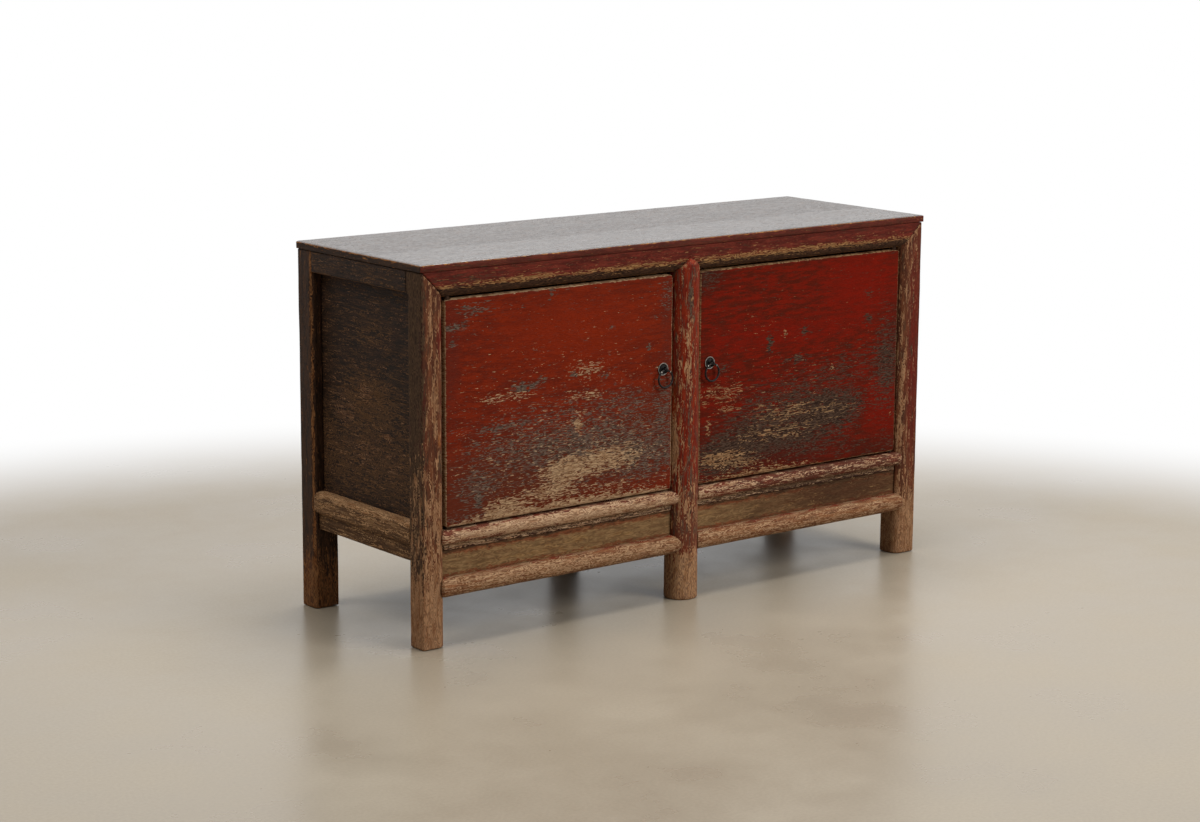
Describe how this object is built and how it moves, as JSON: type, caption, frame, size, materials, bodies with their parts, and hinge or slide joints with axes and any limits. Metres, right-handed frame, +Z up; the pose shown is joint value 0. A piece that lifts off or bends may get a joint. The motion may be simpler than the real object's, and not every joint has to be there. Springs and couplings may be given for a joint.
{
  "type": "kang cabinet",
  "caption": "Low two-door cabinet with round-faced posts that run down as feet, coped rails, board doors on wooden pivots, ring pulls and a flat plank top.",
  "frame": {"origin": "centre of the bounding box at floor level, under the feet", "axes": "+Z up, +X along the case to the right as seen from the doors, -Y towards the doors"},
  "size_m": [1.3, 0.4459, 0.738],
  "materials": {
    "red_lacquered_wood": "worn satin",
    "dark_lacquered_wood": "worn satin",
    "worn_wood": "matte, rubbed",
    "bare_wood": "matte",
    "iron": "forged, dark"
  },
  "bodies": {
    "case": {"front_left_post": "dark_lacquered_wood", "front_right_post": "dark_lacquered_wood", "back_left_post": "dark_lacquered_wood", "back_right_post": "dark_lacquered_wood", "front_middle_post": "red_lacquered_wood", "back_middle_post": "bare_wood", "front_top_rail": "red_lacquered_wood", "back_top_rail": "bare_wood", "front_top_plank": "dark_lacquered_wood", "back_top_plank": "dark_lacquered_wood", "front_floor_board": "bare_wood", "middle_floor_board": "bare_wood", "back_floor_board": "bare_wood", "left_side_top_rail": "dark_lacquered_wood", "right_side_top_rail": "dark_lacquered_wood", "left_side_lower_rail": "worn_wood", "right_side_lower_rail": "worn_wood", "left_side_apron": "worn_wood", "right_side_apron": "worn_wood", "left_side_lower_board": "dark_lacquered_wood", "right_side_lower_board": "dark_lacquered_wood", "left_side_upper_board": "dark_lacquered_wood", "right_side_upper_board": "dark_lacquered_wood", "left_sill_rail": "worn_wood", "right_sill_rail": "worn_wood", "left_bottom_rail": "worn_wood", "right_bottom_rail": "worn_wood", "left_front_panel": "worn_wood", "right_front_panel": "worn_wood", "left_back_lower_rail": "bare_wood", "right_back_lower_rail": "bare_wood", "left_back_lower_board": "bare_wood", "right_back_lower_board": "bare_wood", "left_back_upper_board": "bare_wood", "right_back_upper_board": "bare_wood", "left_floor_bearer": "bare_wood", "right_floor_bearer": "bare_wood", "left_top_batten": "bare_wood", "right_top_batten": "bare_wood", "left_door_stop": "bare_wood", "right_door_stop": "bare_wood"},
    "left_door": {"left_door_lower_board": "red_lacquered_wood", "left_door_upper_board": "red_lacquered_wood", "left_door_hinge_batten": "bare_wood", "left_door_pull_batten": "bare_wood", "left_door_upper_pivot": "bare_wood", "left_door_lower_pivot": "bare_wood", "left_pull_plate": "iron", "left_pull_eye": "iron"},
    "left_ring": {"left_pull_ring": "iron"},
    "right_door": {"right_door_lower_board": "red_lacquered_wood", "right_door_upper_board": "red_lacquered_wood", "right_door_hinge_batten": "bare_wood", "right_door_pull_batten": "bare_wood", "right_door_upper_pivot": "bare_wood", "right_door_lower_pivot": "bare_wood", "right_pull_plate": "iron", "right_pull_eye": "iron"},
    "right_ring": {"right_pull_ring": "iron"}
  },
  "joints": [
    {"name": "left_door_hinge", "type": "hinge", "parent": "case", "child": "left_door", "pos_m": [-0.5795, -0.189, 0.449], "axis": [0, 0, -1], "range_deg": [0, 110]},
    {"name": "left_ring_swing", "type": "hinge", "parent": "left_door", "child": "left_ring", "pos_m": [-0.061, -0.2083, 0.47841], "axis": [-1, 0, 0], "range_deg": [-10, 170]},
    {"name": "right_door_hinge", "type": "hinge", "parent": "case", "child": "right_door", "pos_m": [0.5795, -0.189, 0.449], "axis": [0, 0, 1], "range_deg": [0, 110]},
    {"name": "right_ring_swing", "type": "hinge", "parent": "right_door", "child": "right_ring", "pos_m": [0.061, -0.2083, 0.47841], "axis": [-1, 0, 0], "range_deg": [-10, 170]}
  ]
}
